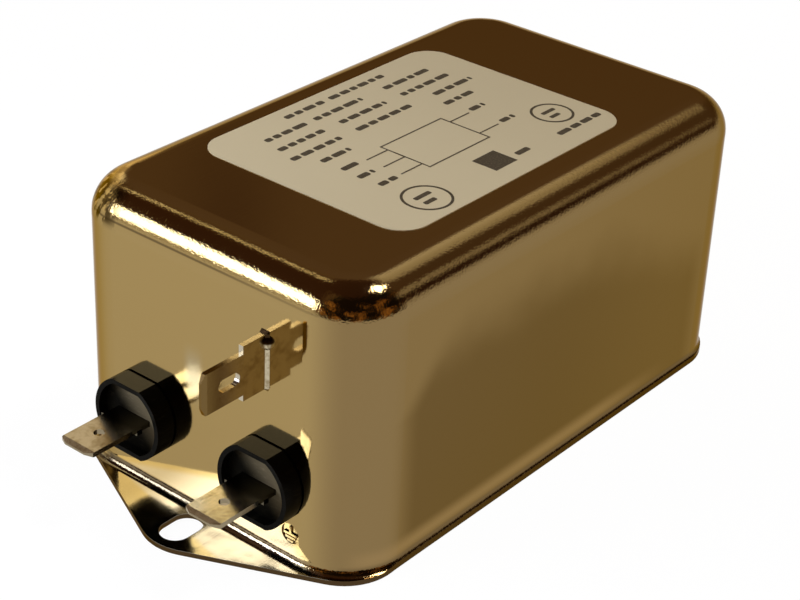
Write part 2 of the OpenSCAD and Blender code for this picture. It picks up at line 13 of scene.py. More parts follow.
import bpy
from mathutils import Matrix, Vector

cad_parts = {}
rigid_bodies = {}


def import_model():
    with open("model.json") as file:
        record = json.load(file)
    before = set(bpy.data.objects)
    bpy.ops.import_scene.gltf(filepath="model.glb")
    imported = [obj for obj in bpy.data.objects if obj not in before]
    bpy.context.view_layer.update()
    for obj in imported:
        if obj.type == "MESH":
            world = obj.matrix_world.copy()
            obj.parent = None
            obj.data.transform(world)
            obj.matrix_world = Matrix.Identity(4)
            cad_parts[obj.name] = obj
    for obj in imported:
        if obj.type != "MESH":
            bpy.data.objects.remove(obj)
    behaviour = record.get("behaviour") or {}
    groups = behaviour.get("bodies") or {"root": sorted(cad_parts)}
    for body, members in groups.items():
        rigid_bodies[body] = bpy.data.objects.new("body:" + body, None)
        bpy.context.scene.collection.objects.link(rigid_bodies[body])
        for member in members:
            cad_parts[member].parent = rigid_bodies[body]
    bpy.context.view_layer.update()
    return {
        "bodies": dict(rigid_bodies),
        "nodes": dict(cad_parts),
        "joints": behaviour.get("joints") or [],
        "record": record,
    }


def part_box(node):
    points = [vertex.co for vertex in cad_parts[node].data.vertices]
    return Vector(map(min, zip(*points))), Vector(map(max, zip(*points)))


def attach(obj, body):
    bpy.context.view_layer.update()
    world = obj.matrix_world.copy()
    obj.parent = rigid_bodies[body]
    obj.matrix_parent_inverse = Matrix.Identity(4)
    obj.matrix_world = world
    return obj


LOG = logging.getLogger("line_filter")
MM = 0.001
BEVEL_STEPS = 2
BEVEL_FROM = math.radians(50)

Colour = tuple[float, float, float]
Point = tuple[float, float]
# How many features of a noise there are to a unit along x, y and z.
Scale = tuple[float, float, float]
# Two numbers are where a smooth step begins and ends, four add its values there, and three are a band's two
# ends and how soft they are.
Limit = tuple[float, ...]


# ---------------------------------------------------------------- shader maths


def rgba(colour: Colour) -> tuple[float, float, float, float]:
    """A colour as the four numbers that a colour socket takes."""
    return (*colour, 1.0)


@dataclass(frozen=True)
class Value:
    """A number on a node's output, with the operators that add Math nodes."""

    tree: Tree
    socket: bpy.types.NodeSocket

    def _math(self, operation: str, *terms: Value | float) -> Value:
        """Adds one Math node over the terms."""
        return self.tree.node("ShaderNodeMath", {"operation": operation}, dict(enumerate(terms)))

    def __add__(self, other: Value | float) -> Value:
        """Sum."""
        return self._math("ADD", self, other)

    __radd__ = __add__

    def __sub__(self, other: Value | float) -> Value:
        """Difference."""
        return self._math("SUBTRACT", self, other)

    def __rsub__(self, other: Value | float) -> Value:
        """Difference with the value on the right."""
        return self._math("SUBTRACT", other, self)

    def __mul__(self, other: Value | float) -> Value:
        """Product."""
        return self._math("MULTIPLY", self, other)

    __rmul__ = __mul__

    def __abs__(self) -> Value:
        """Size without its sign."""
        return self._math("ABSOLUTE", self)

    def most(self, other: Value | float) -> Value:
        """The larger of the two."""
        return self._math("MAXIMUM", self, other)

    def ramp(self, low: float, high: float, first: float = 0.0, last: float = 1.0) -> Value:
        """Smooth step.

        Args:
            low: value at and below which the result is `first`.
            high: value at and above which the result is `last`.
            first: result at the low end.
            last: result at the high end.

        Returns:
            The stepped value.
        """
        if low > high:
            low, high, first, last = high, low, last, first
        return self.tree.node(
            "ShaderNodeMapRange",
            {"interpolation_type": "SMOOTHSTEP", "clamp": True},
            {"Value": self, "From Min": low, "From Max": high, "To Min": first, "To Max": last},
        )

    def band(self, low: float, high: float, soft: float) -> Value:
        """1 between two values and 0 outside them, with soft edges."""
        return self.ramp(low - soft, low + soft) * self.ramp(high + soft, high - soft)

    def within(self, limit: Limit) -> Value:
        """The smooth step or the band that a limit describes."""
        return self.band(*limit) if len(limit) == 3 else self.ramp(*limit)

    def side(self) -> Value:
        """-1 below zero and 1 above it, with a smooth step between."""
        return self.ramp(-1.0, 1.0, -1.0, 1.0)


class Tree:
    """Node tree of one material or of the world."""

    def __init__(self, owner: bpy.types.Material | bpy.types.World) -> None:
        """Empties the owner's node tree.

        Args:
            owner: the data block whose nodes are built.
        """
        owner.use_nodes = True
        self.owner = owner
        self.nodes = owner.node_tree.nodes
        self.links = owner.node_tree.links
        self.nodes.clear()

    def node(
        self,
        kind: str,
        settings: Mapping[str, object] | None = None,
        inputs: Mapping[int | str, object] | None = None,
        output: int | str = 0,
    ) -> Value:
        """Adds a node.

        Args:
            kind: the node's type.
            settings: attributes, set before the sockets.
            inputs: numbers, vectors, colours or links, by socket name or number.
            output: the output that is returned.

        Returns:
            The chosen output.
        """
        made = self.nodes.new(kind)
        for name, value in (settings or {}).items():
            setattr(made, name, value)
        for key, value in (inputs or {}).items():
            if isinstance(value, Value):
                self.links.new(value.socket, made.inputs[key])
            else:
                made.inputs[key].default_value = value
        return Value(self, made.outputs[output])

    def mix(self, share: Value | float, first: Value | Colour, second: Value | Colour) -> Value:
        """Blends two colours.

        Args:
            share: 0 gives the first colour and 1 the second.
            first: colour at 0.
            second: colour at 1.

        Returns:
            The blended colour.
        """
        ends = [c if isinstance(c, Value) else rgba(c) for c in (first, second)]
        return self.node("ShaderNodeMix", {"data_type": "RGBA"}, {0: share, 6: ends[0], 7: ends[1]}, 2)

    def parts(self, vector: Value) -> tuple[Value, Value, Value]:
        """Splits a vector.

        Args:
            vector: the vector.

        Returns:
            Its three numbers.
        """
        split = self.nodes.new("ShaderNodeSeparateXYZ")
        self.links.new(vector.socket, split.inputs[0])
        return tuple(Value(self, out) for out in split.outputs)

    def place(self) -> tuple[Value, Value, Value]:
        """Reads the position on the piece, in the row frame.

        Returns:
            Its three numbers, in millimetres.
        """
        spot = self.node("ShaderNodeTexCoord", output="Object")
        return self.parts(
            self.node("ShaderNodeVectorMath", {"operation": "SCALE"}, {0: spot, "Scale": 1 / MM})
        )

    def facing(self) -> tuple[Value, Value, Value]:
        """Direction that the surface faces."""
        return self.parts(self.node("ShaderNodeNewGeometry", output="Normal"))

    def noise(
        self,
        place: Sequence[Value | float],
        scale: float | Sequence[float],
        detail: float = 2.0,
        rough: float = 0.5,
    ) -> Value:
        """Noise between 0 and 1.

        Args:
            place: the three coordinates.
            scale: how many features there are to a unit, in all three or in each.
            detail: number of finer layers.
            rough: strength of each finer layer.

        Returns:
            The noise.
        """
        scales = scale if isinstance(scale, Sequence) else (scale,) * 3
        spot = self.node("ShaderNodeCombineXYZ", None, {i: place[i] * scales[i] for i in range(3)})
        sockets = {"Vector": spot, "Scale": 1.0, "Detail": detail, "Roughness": rough}
        return self.node("ShaderNodeTexNoise", None, sockets)

    def bump(self, height: Value, depth: float) -> Value:
        """A normal bent by a height between 0 and 1.

        Args:
            height: the height field.
            depth: height of 1, in metres.

        Returns:
            The bent normal.
        """
        return self.node("ShaderNodeBump", None, {"Height": height, "Strength": 1.0, "Distance": depth})

    def surface(self, **sockets: object) -> None:
        """Ends the tree in a Principled shader.

        Args:
            sockets: values by socket name, with _ for a space.
        """
        named = {
            name.replace("_", " "): rgba(value) if isinstance(value, tuple) else value
            for name, value in sockets.items()
        }
        self.end(self.node("ShaderNodeBsdfPrincipled", None, named))

    def end(self, shader: Value) -> None:
        """Links a shader to the output."""
        kind = "World" if isinstance(self.owner, bpy.types.World) else "Material"
        self.links.new(shader.socket, self.nodes.new(f"ShaderNodeOutput{kind}").inputs["Surface"])


@dataclass(frozen=True)
class Zone:
    """Stretch of a surface, or of the room, with its own colour.

    It is limited along each axis and, on a surface, by the direction that the surface faces.
    """

    tone: Colour
    x: Limit = ()
    y: Limit = ()
    z: Limit = ()
    nx: Limit = ()
    ny: Limit = ()
    nz: Limit = ()
    share: float = 1.0

    def mask(self, place: Sequence[Value], facing: Sequence[Value] = ()) -> Value:
        """`share` inside the zone and 0 outside it.

        Args:
            place: the three coordinates.
            facing: the three parts of the direction that the surface faces, or none for the room.

        Returns:
            The mask.
        """
        limits = (self.x, self.y, self.z, self.nx, self.ny, self.nz)
        pairs = zip(limits, (*place, *facing))
        return math.prod((value.within(limit) for limit, value in pairs if limit), start=self.share)

    def paint(self, tree: Tree, below: Value, place: Sequence[Value], facing: Sequence[Value] = ()) -> Value:
        """Lays the zone's colour over another.

        Args:
            tree: the tree that the nodes are added to.
            below: the colour that it is laid over.
            place: the three coordinates.
            facing: as for the mask.

        Returns:
            The colour with the zone on it.
        """
        return tree.mix(self.mask(place, facing), below, self.tone)


# ---------------------------------------------------------------- finishes


class Finish:
    """A surface finish, built once and shared by its pieces."""

    def build(self) -> bpy.types.Material:
        """Makes the material, or returns the one that this finish has made.

        Returns:
            The material.
        """
        made = bpy.data.materials.get(self.title())
        if made is None:
            made = bpy.data.materials.new(self.title())
            self.draw(Tree(made))
        return made

    def title(self) -> str:
        """Name of the material."""
        return type(self).__name__

    def draw(self, tree: Tree) -> None:
        """Adds the finish's nodes to a tree."""
        raise NotImplementedError


@dataclass(frozen=True)
class BrightPlate(Finish):
    """Warm bright plating on the drawn can, with grain over its bends and painted shade in its folds.

    Places are in millimetres. For the foot, the ears, the fold, the dents and the cut face, x counts outward
    from the end wall and z up from the flange's face. The cut's rise counts outward from the long side.
    """

    half_l: float
    half_w: float
    ear_reach: float
    sheet: float = 0.8

    # Plating tone, painted shade on the long sides, painted light on the top, and the low-angle tint.
    wall: Colour = (0.355, 0.248, 0.099)
    side: Colour = (0.236, 0.158, 0.066)
    shaded_side_turn: Limit = (0.0, -0.62)
    far_shaded_side_turn: Limit = (0.7, 0.95)
    top: Zone = Zone((0.372, 0.264, 0.122), z=(20.0, 30.0), nz=(0.9, 0.99))
    # Dark tone of the painted shade and of the painted dark reflection lines below.
    edge: Colour = (0.070, 0.042, 0.018)
    glance: Colour = (0.60, 0.49, 0.37)

    # The long walls: a painted dark reflection that climbs toward the load end and narrows above its waist,
    # a painted pale reflection strip under it, and painted shade along their foot.
    deep: Zone = Zone((0.149, 0.096, 0.039), x=(39.5, 33.5), z=(38.5, 25.0), ny=(0.93, 0.99))
    dark_reflection_climb: Limit = (4.0, 36.0, 0.0, 9.0)
    dark_reflection_fade: Limit = (-6.0, 34.0, 1.0, 0.7)
    dark_reflection_cloud: float = 6.0
    dark_reflection_waist: float = 24.0
    dark_reflection_taper: float = 0.8
    pale_reflection_strip: Zone = Zone((0.285, 0.187, 0.078), x=(32.0, 8.0), z=(2.0, 4.1, 1.2), ny=(0.6, 0.9))
    shaded_heel: Zone = Zone(edge, z=(2.4, 1.1), ny=(0.4, 0.7), share=0.8)

    # The line end: a painted dark reflection line along the top bend, a painted mottled reflection on the
    # corner and a hazy patch of painted reflection.
    brow: Zone = Zone(edge, y=(-20.0, 5.0, 0.4, 1.0), nx=(-0.8, -0.9), nz=(0.26, 0.31, 0.02), share=0.7)
    corner: Zone = Zone(
        (0.05, 0.030, 0.010), x=(-38.0, -41.0), y=(16.0, 19.0), nz=(0.15, 0.9, 0.1), share=0.9
    )
    painted_corner_blots: Scale = (0.7, 0.7, 0.35)
    painted_corner_clear: Limit = (0.44, 0.52)
    reflection_haze: Zone = Zone((0.40, 0.34, 0.22), y=(0.6, 3.4, 0.9), z=(20.0, 26.0, 2.5), nx=(-0.8, -0.95), share=0.7)

    # The foot of the end walls with a painted reflection of the ears, the ears with painted light that fades
    # to painted shade, painted shade in the fold between them, and the flange's cut face, rougher and
    # darkened by painted shade, which rises along the long sides.
    foot: Colour = (0.37, 0.29, 0.177)
    ear_reflection_reach: float = 0.6
    ear_reflection_slope: float = 0.49
    ear_reflection_lean: float = 1.05
    ear_reflection_edge: Limit = (-0.3, 1.6)
    ear_reflection_turn: Limit = (0.5, 0.9)
    ear_reflection_from: Limit = (-1.0, -0.1)
    ear: Zone = Zone((0.60, 0.58, 0.48), x=(-0.5, 0.0), z=(0.5, 0.1))
    ear_far_shade: Colour = (0.27, 0.24, 0.16)
    ear_shade_fade: Limit = (2.0, 12.0)
    fold: Zone = Zone((0.13, 0.10, 0.06), x=(-0.5, 0.0), y=(-14.0, 2.0, 0.2, 0.8), z=(0.2, 1.3, 0.3))
    dents_from: Limit = (-1.0, 0.0)
    dents_below: Limit = (1.6, 0.3)
    shaded_cut_face: Zone = Zone(edge, z=(0.02, -0.06), nz=(0.6, 0.3))
    cut_rise: Limit = (-0.15, -0.05, 0.0, 0.45)

    # Roughness, and what is added to it.
    polish: float = 0.075
    cloud_rough: float = 0.04
    cut_rough: float = 0.25
    ear_rough: float = 0.03
    reflection_haze_rough: float = 0.2

    # Relief: what each noise is worth in the height, whose unit is `depth` metres.
    cloud_scale: float = 0.09
    wave_scale: float = 0.10
    dent_scale: float = 0.22
    grain_scale: float = 1 / 0.33
    line_scale: Scale = (1 / 0.22, 0.12, 1.0)
    line_turn: Limit = (0.3, 0.7)
    bend_turn: Limit = (0.12, 0.96, 0.06)
    bend_grain: float = 0.9
    bend_lines: float = 0.4
    wall_lines: float = 0.12
    waves: float = 0.6
    dents: float = 2.0
    depth: float = 0.000028

    def draw(self, tree: Tree) -> None:
        """Adds the finish's nodes to a tree.

        Args:
            tree: the tree of the finish's material.
        """
        x, y, z = place = tree.place()
        nx, ny, nz = tree.facing()
        by_ear = (abs(x) - self.half_l, y, z - self.sheet)
        cloud = tree.noise(place, self.cloud_scale)
        dented = by_ear[0].within(self.dents_from) * by_ear[2].within(self.dents_below)
        # Painted reflection patch on the line end's wall, which is also rougher there.
        reflection_haze = self.reflection_haze.mask(place, (nx, ny, nz))
        rise = (abs(y) - self.half_w).within(self.cut_rise)
        # The flange's cut face: painted shade, and rougher.
        cut = self.shaded_cut_face.mask((x, y, by_ear[2] - rise), (nx, ny, abs(nz)))
        # Painted shade: the long sides get a darker copy of the plating.
        tone = tree.mix(ny.within(self.shaded_side_turn).most(ny.within(self.far_shaded_side_turn)), self.wall, self.side)
        # Painted light: the top face gets its own lighter tone.
        tone = self.top.paint(tree, tone, place, (nx, ny, nz))
        tone = self._long_sides(tree, tone, place, abs(ny), cloud)
        tone = self._line_end(tree, tone, place, (nx, ny, nz))
        tone = self._painted_foot_and_ears(tree, tone, by_ear, x, abs(nx).most(nz))
        tone = tree.mix(reflection_haze, tone, self.reflection_haze.tone)
        tree.surface(
            Base_Color=tree.mix(cut, tone, self.shaded_cut_face.tone),
            Metallic=1.0,
            Roughness=self.polish
            + self.cloud_rough * (cloud - 0.5)
            + self.cut_rough * cut
            + self.ear_rough * dented
            + self.reflection_haze_rough * reflection_haze,
            Specular_Tint=self.glance,
            Normal=self._relief(tree, place, (ny, nz), dented),
        )

    def _long_sides(
        self, tree: Tree, below: Value, place: Sequence[Value], flank: Value, cloud: Value
    ) -> Value:
        """Painted dark reflection on the long walls, a painted pale strip under it, painted shade at their
        foot.

        Args:
            tree: the tree that the nodes are added to.
            below: the colour so far.
            place: position in millimetres.
            flank: 1 where the surface faces sideways.
            cloud: broad noise.

        Returns:
            The colour with them.
        """
        x, y, z = place
        facing = (flank, flank, flank)
        # Painted dark reflection on the long walls, climbing toward the load end.
        low = z + x.within(self.dark_reflection_climb) + (cloud - 0.5) * self.dark_reflection_cloud
        reach = abs(x) + (z - self.dark_reflection_waist).most(0.0) * self.dark_reflection_taper
        deep = self.deep.mask((reach, y, low), facing) * x.within(self.dark_reflection_fade)
        tone = tree.mix(deep, below, self.deep.tone)
        # Painted pale reflection strip under it, then painted shade along the walls' foot.
        tone = self.pale_reflection_strip.paint(tree, tone, place, facing)
        return self.shaded_heel.paint(tree, tone, place, facing)

    def _line_end(
        self, tree: Tree, below: Value, place: Sequence[Value], facing: Sequence[Value]
    ) -> Value:
        """Painted dark reflection line on the line end's top bend, painted mottled reflection on the corner.

        Args:
            tree: the tree that the nodes are added to.
            below: the colour so far.
            place: position in millimetres.
            facing: direction that the surface faces.

        Returns:
            The colour with them.
        """
        # Painted dark reflection line along the top bend, then painted mottled reflection on the corner.
        tone = self.brow.paint(tree, below, place, facing)
        mottle = tree.noise(place, self.painted_corner_blots, rough=0.6).within(self.painted_corner_clear)
        return tree.mix(self.corner.mask(place, facing) * mottle, tone, self.corner.tone)

    def _painted_foot_and_ears(self, tree: Tree, below: Value, by_ear: Sequence[Value], x: Value, upright: Value) -> Value:
        """Painted reflection at the end walls' foot, painted light and shade on the ears, painted shade in
        the fold.

        Args:
            tree: the tree that the nodes are added to.
            below: the colour so far.
            by_ear: position from the end wall's face and the flange's.
            x: position along the can.
            upright: 1 on the end walls and on level faces.

        Returns:
            The colour with them.
        """
        out, y, above = by_ear
        climb = above * self.ear_reflection_lean
        drift = abs(climb - y * x.side())
        inside = self.ear_reach + self.ear_reflection_reach - drift * self.ear_reflection_slope - climb
        foot = inside.within(self.ear_reflection_edge) * upright.within(self.ear_reflection_turn) * out.within(self.ear_reflection_from)
        # Painted reflection of the ears at the foot of the end walls.
        tone = tree.mix(foot, below, self.foot)
        # Painted light on the ears fading to painted shade, then painted shade in the fold.
        flat = tree.mix(y.within(self.ear_shade_fade), self.ear.tone, self.ear_far_shade)
        return self.fold.paint(tree, tree.mix(self.ear.mask(by_ear), tone, flat), by_ear)

    def _relief(self, tree: Tree, place: Sequence[Value], facing: Sequence[Value], dented: Value) -> Value:
        """Fine grain over the bends, draw lines down the walls and a faint waviness.

        Args:
            tree: the tree that the nodes are added to.
            place: position in millimetres.
            facing: y and z of the direction that the surface faces.
            dented: 1 on the ears.

        Returns:
            The bent normal.
        """
        x, y, z = place
        ny, nz = facing
        turn = abs(ny).within(self.line_turn)
        across = tree.node("ShaderNodeMix", {"data_type": "FLOAT"}, {0: turn, 2: y, 3: x})
        lines = tree.noise((across, z, 0.0), self.line_scale, rough=0.6)
        grain = tree.noise(place, self.grain_scale, detail=1.0, rough=0.6)
        waves = tree.noise(place, self.wave_scale, detail=1.0)
        dents = tree.noise(place, self.dent_scale, detail=1.0)
        height = (grain * self.bend_grain + lines * self.bend_lines) * nz.within(self.bend_turn)
        height = height + lines * self.wall_lines + waves * self.waves + dents * dented * self.dents
        return tree.bump(height, self.depth)


@dataclass(frozen=True)
class SatinPlate(Finish):
    """Duller plating on flat pressed sheet."""

    tone: Colour = (0.50, 0.45, 0.36)
    worn: Colour = (0.38, 0.33, 0.25)
    worn_from: Limit = (0.35, 0.7)
    grain_scale: Scale = (0.25, 9.0, 0.25)
    cloud_scale: float = 0.12
    polish: float = 0.24
    grain_rough: float = 0.12
    depth: float = 0.000006

    def draw(self, tree: Tree) -> None:
        """Adds the finish's nodes to a tree.

        Args:
            tree: the tree of the finish's material.
        """
        place = tree.place()
        grain = tree.noise(place, self.grain_scale, detail=3.0)
        cloud = tree.noise(place, self.cloud_scale)
        tree.surface(
            Base_Color=tree.mix(cloud.within(self.worn_from), self.tone, self.worn),
            Metallic=1.0,
            Roughness=self.polish + self.grain_rough * grain,
            Normal=tree.bump(grain, self.depth),
        )


@dataclass(frozen=True)
class TinnedBrass(Finish):
    """Stamped brass blade with thin bright tin plating, scratched along its length, painted shade inside the
    bushing.
    """

    tone: Colour = (0.66, 0.63, 0.54)
    dull: Colour = (0.46, 0.41, 0.30)
    dull_from: Limit = (0.42, 0.75)
    sheared: Colour = (0.27, 0.22, 0.14)
    sheared_turn: Limit = (0.7, 0.3)
    painted_shade: Colour = (0.10, 0.088, 0.06)
    painted_shade_from: Limit = (54.0, 51.5)
    glance: Colour = (0.9, 0.85, 0.75)
    polish: float = 0.18
    scratch_rough: float = 0.14
    scratch_middle: float = 0.4
    scratch_scale: Scale = (0.6, 5.0, 5.0)
    blot_scale: float = 0.8
    scratch_share: float = 0.4
    blot_share: float = 1.2
    depth: float = 0.000008

    def draw(self, tree: Tree) -> None:
        """Adds the finish's nodes to a tree.

        Args:
            tree: the tree of the finish's material.
        """
        place = tree.place()
        scratch = tree.noise(place, self.scratch_scale, detail=3.0, rough=0.6)
        blot = tree.noise(place, self.blot_scale, detail=3.0)
        tone = tree.mix(blot.within(self.dull_from), self.tone, self.dull)
        tone = tree.mix(self.face(tree).within(self.sheared_turn), tone, self.sheared)
        tree.surface(
            # Painted shade: inside the bushing's cup on the line and load blades, toward the tip on the
            # ground blade.
            Base_Color=tree.mix(abs(place[0]).within(self.painted_shade_from), tone, self.painted_shade),
            Metallic=1.0,
            Roughness=self.polish + self.scratch_rough * (scratch - self.scratch_middle),
            Specular_Tint=self.glance,
            Normal=tree.bump(scratch * self.scratch_share + blot * self.blot_share, self.depth),
        )

    def face(self, tree: Tree) -> Value:
        """1 on the broad faces of a blade that lies flat, and 0 on its edges."""
        return abs(tree.facing()[2])


@dataclass(frozen=True)
class GroundBrass(TinnedBrass):
    """Ground blade: more brass shows through, and painted shade darkens it toward its tip."""

    tone: Colour = (0.43, 0.34, 0.20)
    dull: Colour = (0.30, 0.22, 0.115)
    sheared: Colour = (0.50, 0.45, 0.35)
    painted_shade: Colour = (0.16, 0.10, 0.035)
    painted_shade_from: Limit = (51.5, 57.0)
    glance: Colour = (0.55, 0.40, 0.20)
    polish: float = 0.2

    def face(self, tree: Tree) -> Value:
        """1 on the broad faces of a blade that stands upright, and 0 on its edges."""
        return abs(tree.facing()[1])


@dataclass(frozen=True)
class Solder(Finish):
    """Wetted solder, uneven, with painted shadow over its upper end."""

    tone: Colour = (0.56, 0.49, 0.34)
    dull: Colour = (0.34, 0.27, 0.16)
    dull_from: Limit = (0.4, 0.7)
    painted_shadow: Colour = (0.045, 0.025, 0.010)
    painted_shadow_from: Limit = (34.1, 34.4)
    lump_scale: float = 1.6
    polish: float = 0.3
    lump_rough: float = 0.2
    depth: float = 0.00006

    def draw(self, tree: Tree) -> None:
        """Adds the finish's nodes to a tree.

        Args:
            tree: the tree of the finish's material.
        """
        place = tree.place()
        lump = tree.noise(place, self.lump_scale, detail=3.0)
        tone = tree.mix(lump.within(self.dull_from), self.tone, self.dull)
        tree.surface(
            # Painted shadow over the solder's upper end.
            Base_Color=tree.mix(place[2].within(self.painted_shadow_from), tone, self.painted_shadow),
            Metallic=1.0,
            Roughness=self.polish + self.lump_rough * lump,
            Normal=tree.bump(lump, self.depth),
        )


@dataclass(frozen=True)
class BushingPlastic(Finish):
    """Black moulded insulator with a dim gloss, rougher on the floor of its cup, which carries painted light.
    """

    axis_y: float
    axis_z: float
    floor_x: float
    tone: Colour = (0.0035, 0.0032, 0.0022)
    rubbed: Colour = (0.013, 0.011, 0.007)
    rubbed_from: Limit = (0.52, 0.72)
    # Painted light on the cup's floor.
    dull: Colour = (0.23, 0.19, 0.11)
    floor: Limit = (-0.1, 0.1, 0.05)
    floor_turn: Limit = (0.8, 0.95)
    painted_light_limit: Limit = (-2.0, 4.5)
    painted_light_least: float = 0.7
    gloss_tint: Colour = (1.0, 0.84, 0.60)
    grain_scale: float = 6.0
    mark_scale: Scale = (1.0, 0.5, 2.4)
    mark_lean: Point = (0.5, 0.4)
    coat_turn: Limit = (0.3, 0.9, 0.0, 0.36)
    polish: float = 0.27
    grain_rough: float = 0.12
    floor_rough: float = 0.25
    depth: float = 0.000010

    def draw(self, tree: Tree) -> None:
        """Adds the finish's nodes to a tree.

        Args:
            tree: the tree of the finish's material.
        """
        x, y, z = tree.place()
        nx, _, nz = tree.facing()
        grain = tree.noise((x, y, z), self.grain_scale, detail=3.0)
        leaning = x * self.mark_lean[0] + y * self.mark_lean[1]
        mark = tree.noise((leaning, y, z), self.mark_scale, detail=5.0, rough=0.7).within(self.rubbed_from)
        across = abs(y) - self.axis_y
        # Painted light on the cup's floor, brighter toward one side and broken by the rubbed marks.
        painted_light = (z - self.axis_z + across * y.side() * x.side()).within(self.painted_light_limit)
        floor = (abs(x) - self.floor_x).within(self.floor) * abs(nx).within(self.floor_turn)
        spread = mark * (1.0 - self.painted_light_least) + self.painted_light_least
        tone = tree.mix(mark, self.tone, self.rubbed)
        tree.surface(
            Base_Color=tree.mix(floor * spread * painted_light, tone, self.dull),
            Roughness=self.polish + self.grain_rough * grain + self.floor_rough * floor,
            Normal=tree.bump(grain, self.depth),
            IOR=1.45,
            Specular_IOR_Level=0.03,
            Specular_Tint=self.gloss_tint,
            Coat_Weight=nz.within(self.coat_turn),
            Coat_Roughness=0.22,
            Coat_IOR=1.4,
        )


@dataclass(frozen=True)
class LabelFilm(Finish):
    """Cream polyester label with a satin face; painted shade darkens it toward the load end."""

    tone: Colour = (0.70, 0.615, 0.40)
    # Painted shade toward the load end, where the label gets less light.
    shade: Colour = (0.60, 0.52, 0.335)
    painted_falloff_drift: Limit = (-28.0, 34.0, 0.0, 0.65)
    cloud_share: float = 0.3
    fibre_share: float = 0.1
    fibre_scale: float = 5.0
    cloud_scale: float = 0.06
    polish: float = 0.42
    fibre_rough: float = 0.12
    depth: float = 0.000006

    def draw(self, tree: Tree) -> None:
        """Adds the finish's nodes to a tree.

        Args:
            tree: the tree of the finish's material.
        """
        place = tree.place()
        fibre = tree.noise(place, self.fibre_scale, detail=3.0)
        cloud = tree.noise(place, self.cloud_scale)
        # Painted shade toward the load end, mixed with random mottle and fibre.
        shade_and_mottle = place[0].within(self.painted_falloff_drift) + (cloud - 0.5) * self.cloud_share
        tree.surface(
            Base_Color=tree.mix(shade_and_mottle + fibre * self.fibre_share, self.tone, self.shade),
            Roughness=self.polish + self.fibre_rough * fibre,
            Normal=tree.bump(fibre, self.depth),
        )


@dataclass(frozen=True)
class Ink(Finish):
    """Dark brown printed ink, thin in places."""

    tone: Colour = (0.045, 0.032, 0.014)
    thin: Colour = (0.110, 0.085, 0.045)
    thin_from: Limit = (0.4, 0.7)
    gap_scale: float = 3.0
    polish: float = 0.5
    gap_rough: float = 0.1

    def draw(self, tree: Tree) -> None:
        """Adds the finish's nodes to a tree.

        Args:
            tree: the tree of the finish's material.
        """
        x, y, _ = tree.place()
        gap = tree.noise((x, y, 0.0), self.gap_scale, detail=4.0, rough=0.7)
        tree.surface(
            Base_Color=tree.mix(gap.within(self.thin_from), self.tone, self.thin),
            Roughness=self.polish + self.gap_rough * gap,
        )


@dataclass(frozen=True)
class InnerCoat(Finish):
    """Coating, moulding or insulation of a piece inside the can."""

    what: str
    tone: Colour
    gloss: float = 0.4
    metal: float = 0.0
    lighter_from: Limit = (0.3, 0.75)
    gain: float = 1.35
    lift: float = 0.01
    cloud_scale: float = 0.8
    cloud_rough: float = 0.15
    depth: float = 0.00002

    def title(self) -> str:
        """Name of the material."""
        return super().title() + self.what

    def draw(self, tree: Tree) -> None:
        """Adds the finish's nodes to a tree.

        Args:
            tree: the tree of the finish's material.
        """
        cloud = tree.noise(tree.place(), self.cloud_scale, detail=3.0)
        lighter = tuple(min(1.0, part * self.gain + self.lift) for part in self.tone)
        tree.surface(
            Base_Color=tree.mix(cloud.within(self.lighter_from), self.tone, lighter),
            Metallic=self.metal,
            Roughness=self.gloss + self.cloud_rough * (cloud - 0.5),
            Normal=tree.bump(cloud, self.depth),
        )


# ---------------------------------------------------------------- sub-assemblies


class End(Enum):
    """The filter's two ends."""

    LINE = "line"
    LOAD = "load"


def dress(frame: Mapping[str, object], node: str, finish: Finish, bevel: float = 0.0) -> None:
    """Gives a CAD node its finish.

    Args:
        node: the node's name.
        finish: its finish.
        bevel: width in metres of the broken edge, or 0 for none.
    """
    piece = frame["nodes"][node]
    piece.data.materials.clear()
    piece.data.materials.append(finish.build())
    if bevel:
        edge = piece.modifiers.new("broken_edge", "BEVEL")
        edge.width = bevel
        edge.segments = BEVEL_STEPS
        edge.limit_method = "ANGLE"
        edge.angle_limit = BEVEL_FROM
        edge.harden_normals = True
    LOG.info("%s: %s", node, type(finish).__name__)


@dataclass
class Can:
    """The drawn can and the cover that closes it from below."""

    ear_reach: float = 9.75

    def build(self, frame: Mapping[str, object]) -> None:
        """Dresses both pieces.
        """
        low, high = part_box("can")
        shell = BrightPlate(-low[0] / MM - self.ear_reach, high[1] / MM, self.ear_reach)
        dress(frame, "can", shell)
        dress(frame, "base_cover", SatinPlate())


@dataclass
class Terminal:
    """One insulated quick-connect terminal."""

    end: End
    number: int
    edge: float = 0.00006
    cup_depth: float = 1.5

    def build(self, frame: Mapping[str, object]) -> None:
        """Dresses the bushing and its blade.
        """
        bushing = f"{self.end.value}_bushing_{self.number}"
        low, high = (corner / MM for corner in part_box(bushing))
        middle = (low + high) / 2
        floor_x = max(abs(low[0]), abs(high[0])) - self.cup_depth
        dress(frame, bushing, BushingPlastic(abs(middle[1]), middle[2], floor_x), 2 * self.edge)
        dress(frame, f"{self.end.value}_blade_{self.number}", TinnedBrass(), self.edge)


@dataclass
class GroundTab:
    """The ground blade and its solder seam."""

    edge: float = 0.00006

    def build(self, frame: Mapping[str, object]) -> None:
        """Dresses both pieces."""
        dress(frame, "earth_blade", GroundBrass(), self.edge)
        dress(frame, "earth_solder", Solder())


@dataclass
class Stroke:
    """One printed shape, as a closed outline in millimetres, with or without a hole of as many points."""

    outline: list[Point]
    hole: list[Point] | None = None


